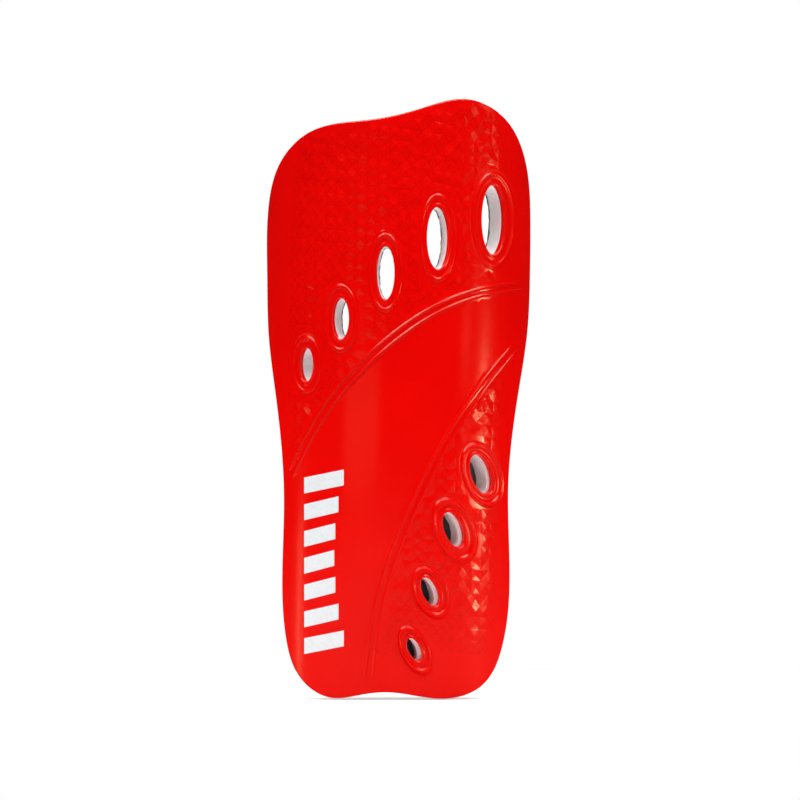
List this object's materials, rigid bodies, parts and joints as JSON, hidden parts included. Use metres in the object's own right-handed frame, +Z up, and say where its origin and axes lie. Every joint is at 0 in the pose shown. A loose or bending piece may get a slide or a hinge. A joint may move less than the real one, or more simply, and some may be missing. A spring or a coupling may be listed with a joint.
{
  "type": "shin guard",
  "caption": "Slip-in shin guard: a rigid curved shell with moulded relief and oval vents, bonded to a foam pad with a fabric lining, worn against the front of the lower leg under a sock.",
  "frame": {"origin": "middle of the padded inner side at mid-height, where the guard bears on the shin bone", "axes": "+Z up along the shin, -Y out of the front of the guard, +X to the right seen from the front"},
  "size_m": [0.0974, 0.0376, 0.2197],
  "materials": {
    "outer_shell": "semi-gloss moulded polypropylene, bright red",
    "foam_pad": "closed-cell EVA foam, off-white, die-cut edges",
    "lining_fabric": "dark brushed knit, laminated to the foam",
    "printed_bars": "white transfer film"
  },
  "bodies": {
    "root": {"outer_shell": "outer_shell", "foam_pad": "foam_pad", "lining_fabric": "lining_fabric", "printed_bars": "printed_bars"}
  },
  "joints": []
}
